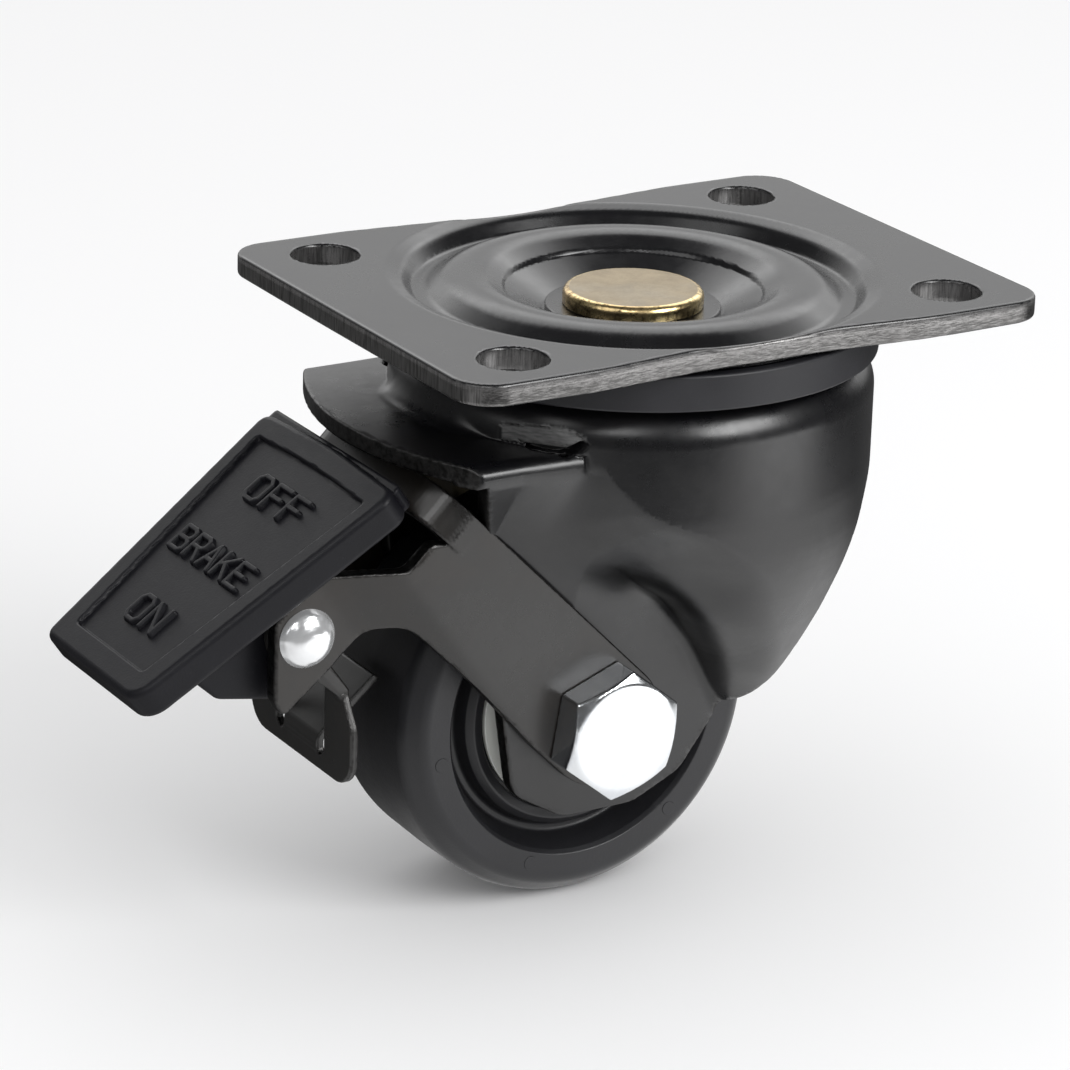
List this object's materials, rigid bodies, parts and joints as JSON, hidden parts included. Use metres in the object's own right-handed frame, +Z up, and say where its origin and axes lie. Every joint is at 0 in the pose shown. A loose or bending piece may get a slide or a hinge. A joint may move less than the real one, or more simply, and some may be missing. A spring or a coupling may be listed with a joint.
{
  "type": "braked swivel castor",
  "caption": "Swivel castor with a top plate, ball-bearing swivel head, drawn steel fork, nylon wheel on a hex bolt, and a rocking foot pedal that presses a sheet brake shoe towards the tread.",
  "frame": {"origin": "centre of the four-hole pattern, in the plane of the plate's top face", "axes": "+Z up out of the plate, +X along the plate's long side, the wheel and pedal trail towards -X"},
  "size_m": [0.15, 0.081, 0.1005],
  "materials": {
    "black_coat": "glossy electro-coated black with slight orange peel",
    "bronzed_black": "thin black coat, faint bronze tint, satin gloss",
    "zinc_yellow": "yellow passivated zinc, satin top, bright rim",
    "zinc_bright": "bright zinc plate",
    "bearing_steel": "ground steel",
    "cage_steel": "pressed steel",
    "seal_grey": "matt dark moulding",
    "pale_nylon": "natural nylon, matt",
    "black_nylon": "moulded black nylon, fine grain",
    "pedal_plastic": "moulded black plastic, fine grain, raised lettering"
  },
  "bodies": {
    "mount": {"top_plate": "black_coat", "king_pin": "zinc_yellow", "pin_washer": "black_coat", "race_collar": "bearing_steel", "lower_cup": "black_coat", "king_nut_washer": "zinc_yellow", "king_nut": "zinc_yellow", "dust_seal": "seal_grey", "upper_balls": "bearing_steel", "lower_balls": "bearing_steel"},
    "fork": {"fork": "black_coat", "axle_bolt": "zinc_bright", "axle_washer": "zinc_bright", "axle_nut": "zinc_bright", "axle_sleeve": "bearing_steel", "hub_spacer_near": "pale_nylon", "hub_spacer_far": "pale_nylon", "bearing_inner_near": "bearing_steel", "bearing_inner_far": "bearing_steel", "brake_bracket": "bronzed_black", "pedal_pin": "zinc_bright"},
    "wheel": {"wheel": "black_nylon", "bearing_outer_near": "bearing_steel", "bearing_outer_far": "bearing_steel", "bearing_balls_near": "bearing_steel", "bearing_balls_far": "bearing_steel", "bearing_cage_near": "cage_steel", "bearing_cage_far": "cage_steel"},
    "pedal": {"brake_pedal": "pedal_plastic"},
    "shoe": {"brake_shoe": "bronzed_black"}
  },
  "joints": [
    {"name": "swivel", "type": "hinge", "parent": "mount", "child": "fork", "pos_m": [0, 0, -0.0108], "axis": [0, 0, 1], "continuous": true},
    {"name": "wheel_spin", "type": "hinge", "parent": "fork", "child": "wheel", "pos_m": [-0.0154, 0, -0.068], "axis": [0, 1, 0], "continuous": true},
    {"name": "pedal_rock", "type": "hinge", "parent": "fork", "child": "pedal", "pos_m": [-0.0675, 0, -0.0453], "axis": [0, 1, 0], "range_deg": [-14, 0]},
    {"name": "shoe_press", "type": "hinge", "parent": "fork", "child": "shoe", "pos_m": [-0.0675, 0, -0.0453], "axis": [0, 1, 0], "range_deg": [-7, 0]}
  ],
  "couplings": [
    {"joint": "shoe_press", "follows": "pedal_rock", "ratio": 0.5}
  ]
}
